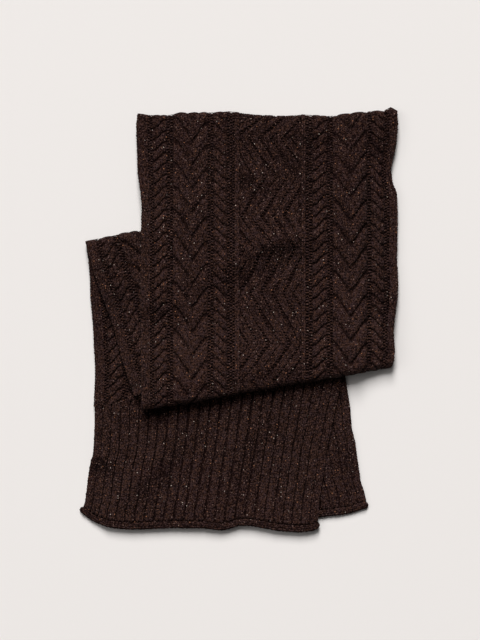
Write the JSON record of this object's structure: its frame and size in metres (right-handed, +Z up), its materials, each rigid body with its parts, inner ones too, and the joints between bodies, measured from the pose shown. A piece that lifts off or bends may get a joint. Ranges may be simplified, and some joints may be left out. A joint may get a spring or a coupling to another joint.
{
  "type": "knit scarf",
  "caption": "Cable-knit wool scarf in dark brown with ribbed ends and rolled hems, folded and lying flat.",
  "frame": {"origin": "on the surface that the scarf lies on, under the middle of the folded scarf", "axes": "+Z up from that surface; +Y along the scarf, towards the fold at its mid-length; +X across it"},
  "size_m": [0.3685, 0.4907, 0.0258],
  "materials": {
    "cable_knit": "matt flecked wool, cable knit",
    "hidden_knit": "matt flecked wool, folded layers",
    "rib_knit": "matt flecked wool, rib knit",
    "hem_knit": "matt flecked wool, rolled edge"
  },
  "bodies": {
    "root": {"front_stretch": "cable_knit", "middle_stretch": "cable_knit", "lower_stretch": "cable_knit", "hidden_layers": "hidden_knit", "upper_rib_end": "rib_knit", "under_rib_end": "rib_knit", "upper_hem": "hem_knit", "under_hem": "hem_knit"}
  },
  "joints": []
}
